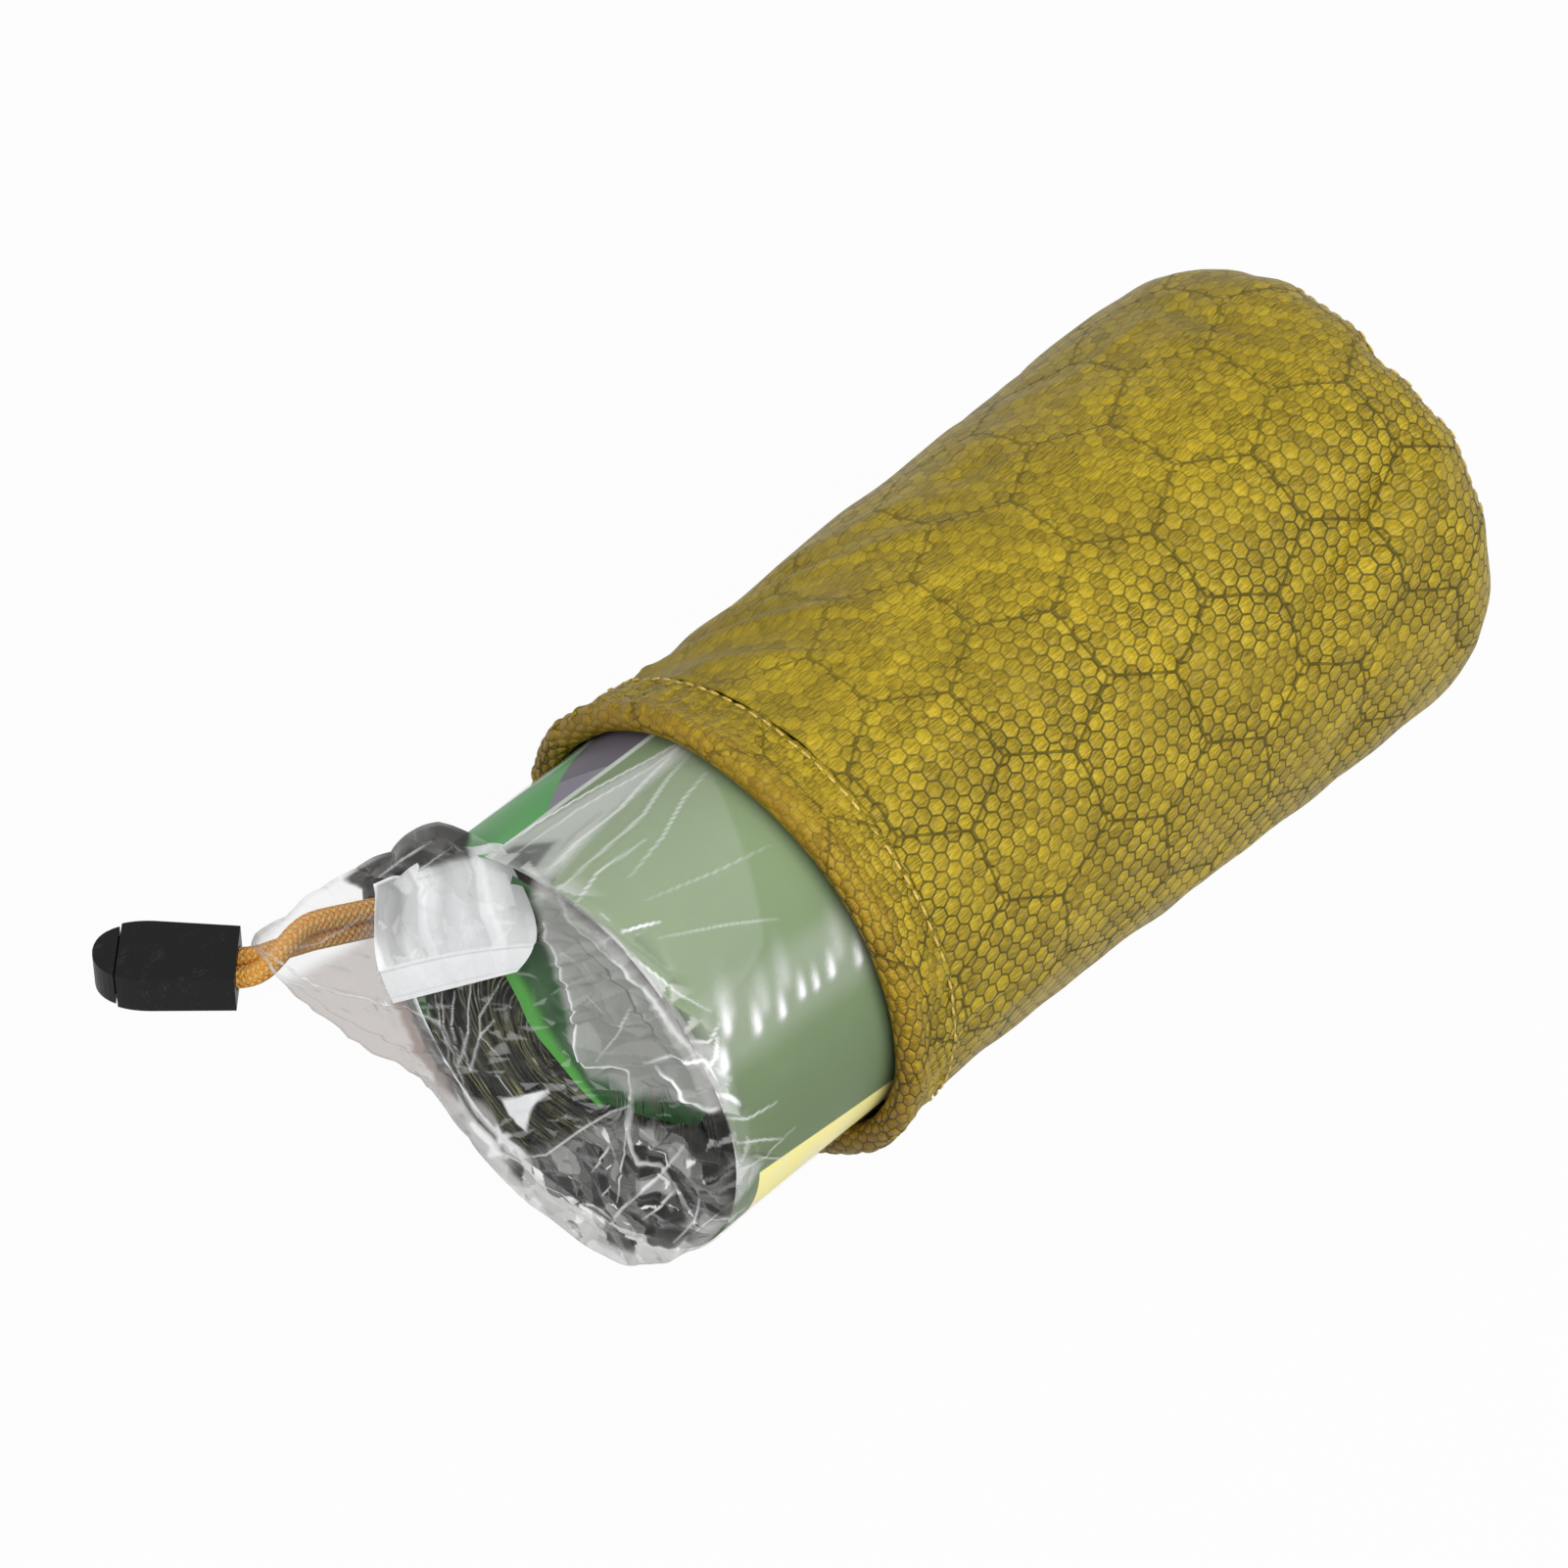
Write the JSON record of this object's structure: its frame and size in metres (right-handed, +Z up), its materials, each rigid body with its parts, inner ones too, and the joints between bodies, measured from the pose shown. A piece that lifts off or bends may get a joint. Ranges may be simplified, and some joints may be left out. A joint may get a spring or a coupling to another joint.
{
  "type": "emergency sleeping bag",
  "caption": "Emergency sleeping bag rolled in a printed card and clear film, half out of a drawstring stuff sack with a cord lock and a cord end.",
  "frame": {"origin": "on the surface that the sack lies on, under the middle of the sack's length, at the mount rest_face", "axes": "+X along the sack from its mouth to its closed end, +Y to the side where the drawcord comes out, +Z up"},
  "size_m": [0.1982, 0.1339, 0.0813],
  "materials": {
    "ripstop": "satin honeycomb ripstop nylon",
    "hem_ripstop": "gathered ripstop nylon",
    "paracord": "braided",
    "metallised_film": "crumpled, dull metallised",
    "printed_card": "printed, soft sheen",
    "clear_film": "crumpled clear film",
    "frosted_film": "frosted film",
    "black_plastic": "fine matte",
    "spring_steel": "drawn wire"
  },
  "bodies": {
    "sack": {"sack_body": "ripstop", "end_panel": "ripstop", "mouth_hem": "hem_ripstop", "drawcord_in_hem": "paracord", "drawcord_tail_a": "paracord", "drawcord_tail_b": "paracord", "drawcord_knot": "paracord", "toggle_body": "black_plastic"},
    "bundle": {"sleeping_bag_roll": "metallised_film", "card_wrap": "printed_card", "film_tube": "clear_film", "film_front": "clear_film", "film_flap": "frosted_film", "film_end_seal": "clear_film"},
    "cord_lock": {"cord_lock_body": "black_plastic", "cord_lock_spring": "spring_steel"},
    "lock_plunger": {"cord_lock_plunger": "black_plastic"},
    "toggle_end": {"toggle_cap": "black_plastic"}
  },
  "joints": [
    {"name": "bundle_slide", "type": "slide", "parent": "sack", "child": "bundle", "axis": [-1, 0, 0], "range_m": [-0.012, 0.125]},
    {"name": "cord_lock_slide", "type": "slide", "parent": "sack", "child": "cord_lock", "axis": [-0.866, 0.5, 0], "range_m": [0, 0.007]},
    {"name": "plunger_press", "type": "slide", "parent": "cord_lock", "child": "lock_plunger", "axis": [0.5, 0.866, 0], "range_m": [0, 0.0025], "stiffness_N_per_m": 1200, "deforming": ["cord_lock_spring"]},
    {"name": "toggle_cap_slide", "type": "slide", "parent": "sack", "child": "toggle_end", "axis": [-0.66, 0.7513, 0], "range_m": [0, 0.012]}
  ]
}
